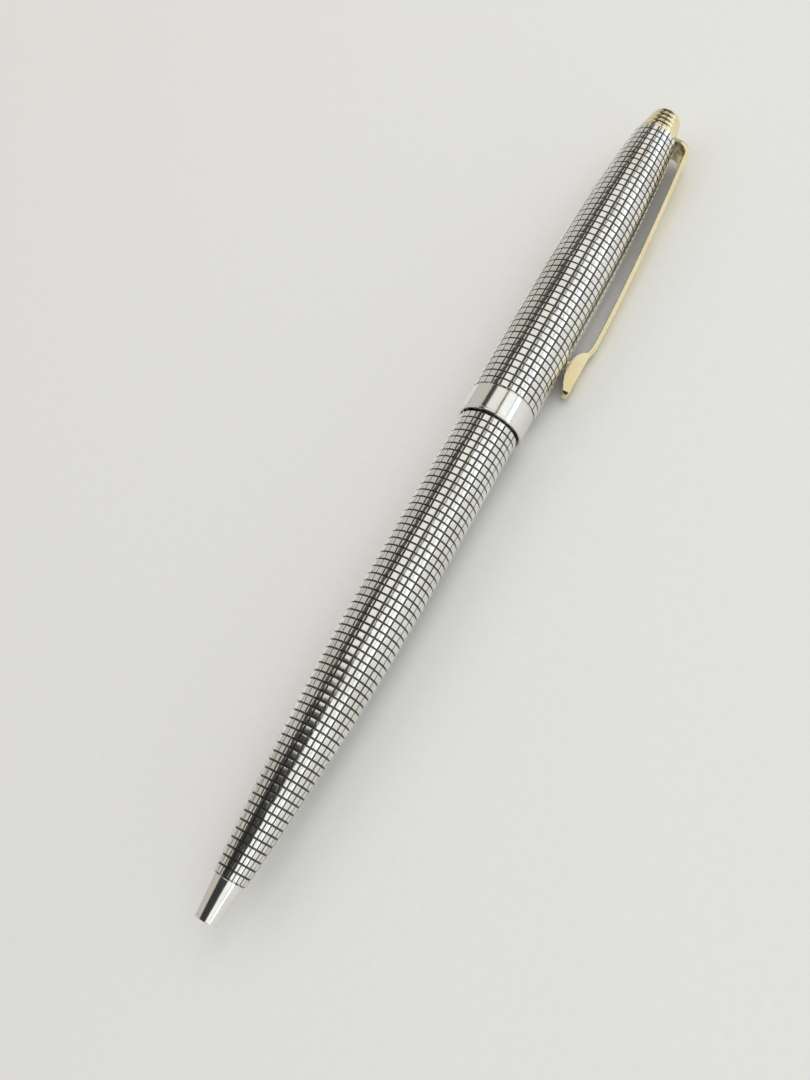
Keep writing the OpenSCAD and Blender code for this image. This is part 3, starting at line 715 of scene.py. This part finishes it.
print("writing point")
point = {"ballR": 0.35, "coneLength": 2.5, "frontR": 1.1, "wickR": 0.55}
ballLow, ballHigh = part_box("writing_ball")
ballX = (ballLow.x + ballHigh.x) / 2
ballR = (ballHigh.x - ballLow.x) / 2
coneX = ballLow.x + point["coneLength"] * mm
seatR = point["ballR"]
pointOutline = filleted([
    (ballX - 0.1 * mm, (seatR + 0.005) * mm, 0), (ballX - 0.12 * mm, (seatR + 0.06) * mm, 0.02 * mm),
    (ballX + 0.5 * mm, (seatR + 0.2) * mm, 0.1 * mm), (coneX, point["frontR"] * mm, 0.3 * mm),
    (pointHigh.x, point["frontR"] * mm, 0.05 * mm), (pointHigh.x, point["wickR"] * mm, 0),
    (coneX + 0.5 * mm, point["wickR"] * mm, 0), (ballX + 0.3 * mm, 0.17 * mm, 0),
    (ballX + 0.2 * mm, 0.3 * mm, 0), (ballX, (seatR + 0.015) * mm, 0)])
turnedPiece("refillPoint", pointOutline, "refill", ["refill_point"], drawnSteel, 96)
ballOutline = [(ballX - ballR * math.cos(a), max(0.0, ballR * math.sin(a)))
               for a in spread(0, math.pi, 20)]
turnedPiece("writingBall", ballOutline, "ball", ["writing_ball"], hardCarbide, 40, 80)


print("studio")
# the lens stands to one side, round the pen's axis, where it sees the clip along its edge
camera = {
    "foot": 11.13,     # millimetres along the pen from its tip to the lens
    "height": 129.17,  # from the pen's axis to the lens
    "tilt": 17.37,     # degrees from square to the pen, towards the end button
    "turned": 30.19,   # degrees that the pen leans clockwise in the view
    "aside": 2.21,     # how far the lens stands off the pen's axis
    "raised": 6.0,     # degrees by which the clip stands up towards the lens
    "lens": 35.0,
}
lensAngle = clipRoll + math.radians(camera["raised"])

studio = {
    "floor": (0.88, 0.875, 0.86, 1), "floorSpeck": (0.84, 0.835, 0.82, 1), "floorReach": 3.0,
    "sky": (0.04, 0.04, 0.042, 1), "skyline": (0.5, 0.5, 0.5, 1),
    "fill": 1.25,   # soft sunlight that no metal mirrors, so that the floor is pale
    "far": 0.5,     # metres from the pen's axis to each panel
    # soft panels along the pen: the angles round its axis between which each stands, counted from
    # the lens, rightwards positive, where it begins and ends along X, its glow and its tint
    "panels": {
        "highRight": {"from": -3, "to": 29, "ends": (-0.6, 1.0), "glow": 0.95, "tint": (0.97, 1.0, 0.98)},
        "right": {"from": 31, "to": 48, "ends": (-0.6, 1.0), "glow": 1.2, "tint": (0.90, 0.97, 1.0)},
        "highLeft": {"from": -47, "to": -9, "ends": (-0.01, 1.0), "glow": 0.8, "tint": (1.0, 0.98, 0.91)},
        "left": {"from": -116, "to": -65, "ends": (-0.6, 1.0), "glow": 0.5, "tint": (1.0, 0.95, 0.86)},
    },
}
floorMesh = bpy.data.meshes.new("floor")
reach = studio["floorReach"]
corners = [(sx * reach, sy * reach, 0) for sx, sy in ((-1, -1), (1, -1), (1, 1), (-1, 1))]
floorMesh.from_pydata(corners, [], [(0, 1, 2, 3)])
floor = bpy.data.objects.new("floor", floorMesh)
bpy.context.scene.collection.objects.link(floor)
floorMaterial, floorTree, floorShader = newMaterial("paleFloor")
speckle = noise(floorTree, objectCoords(floorTree), 900, 2)
floorColour = mixColour(floorTree, speckle, studio["floor"], studio["floorSpeck"])
floorTree.links.new(floorColour, floorShader.inputs["Base Color"])
floorShader.inputs["Roughness"].default_value = 0.8
floorMesh.materials.append(floorMaterial)

# the sky is dim overhead, so that the panels stand out in the metal, and pale at the skyline
world = bpy.data.worlds.new("studio")
world.use_nodes = True
sky = world.node_tree
direction = sky.nodes.new("ShaderNodeTexCoord").outputs["Generated"]
parts = sky.nodes.new("ShaderNodeSeparateXYZ")
sky.links.new(direction, parts.inputs[0])
skyShare = mapped(sky, parts.outputs["Z"], 0.10, 0.22, 0.0, 1.0)
skyColour = mixColour(sky, skyShare, studio["skyline"], studio["sky"])
sky.links.new(skyColour, sky.nodes["Background"].inputs["Color"])
bpy.context.scene.world = world
bpy.context.scene.view_settings.view_transform = "Standard"

fill = bpy.data.lights.new("fill", "SUN")
fill.energy = studio["fill"]
fill.angle = math.radians(120)   # a wide sun, for soft shadows
fillObject = bpy.data.objects.new("fill", fill)
bpy.context.scene.collection.objects.link(fillObject)
fillObject.visible_glossy = False

for name, panel in studio["panels"].items():
    first, last = (math.radians(panel[key]) + lensAngle for key in ("from", "to"))
    middle, half = (first + last) / 2, (last - first) / 2
    lamp = bpy.data.lights.new(name, "AREA")
    lamp.shape = "RECTANGLE"
    lamp.size = panel["ends"][1] - panel["ends"][0]
    lamp.size_y = 2 * studio["far"] * math.tan(half)
    lamp.energy = panel["glow"] * math.pi * lamp.size * lamp.size_y
    lamp.color = panel["tint"]
    holder = bpy.data.objects.new(name, lamp)
    bpy.context.scene.collection.objects.link(holder)
    holder.visible_camera = False
    holder.location = (sum(panel["ends"]) / 2, axisY - studio["far"] * math.sin(middle),
                       axisZ + studio["far"] * math.cos(middle))
    holder.rotation_euler = (middle, 0, 0)

tilt, lean = math.radians(camera["tilt"]), math.radians(camera["turned"])
toLens = Vector((0, -math.sin(lensAngle), math.cos(lensAngle)))
across = Vector((0, -math.cos(lensAngle), -math.sin(lensAngle)))
forward = Vector((math.sin(tilt), 0, 0)) - math.cos(tilt) * toLens
upright = Vector((math.cos(tilt), 0, 0)) + math.sin(tilt) * toLens
viewUp = upright * math.cos(lean) - across * math.sin(lean)
viewRight = upright * math.sin(lean) + across * math.cos(lean)
eye = bpy.data.cameras.new("camera")
eye.lens = camera["lens"]
eye.clip_start = 0.005
eyeObject = bpy.data.objects.new("camera", eye)
bpy.context.scene.collection.objects.link(eyeObject)
matrix = eyeObject.matrix_world.to_3x3()
matrix.col[0], matrix.col[1], matrix.col[2] = viewRight, viewUp, -forward
eyeObject.matrix_world = matrix.to_4x4()
foot = Vector((along(camera["foot"]), axisY, axisZ))
eyeObject.location = foot + (camera["height"] * toLens - camera["aside"] * across) * mm
bpy.context.scene.camera = eyeObject
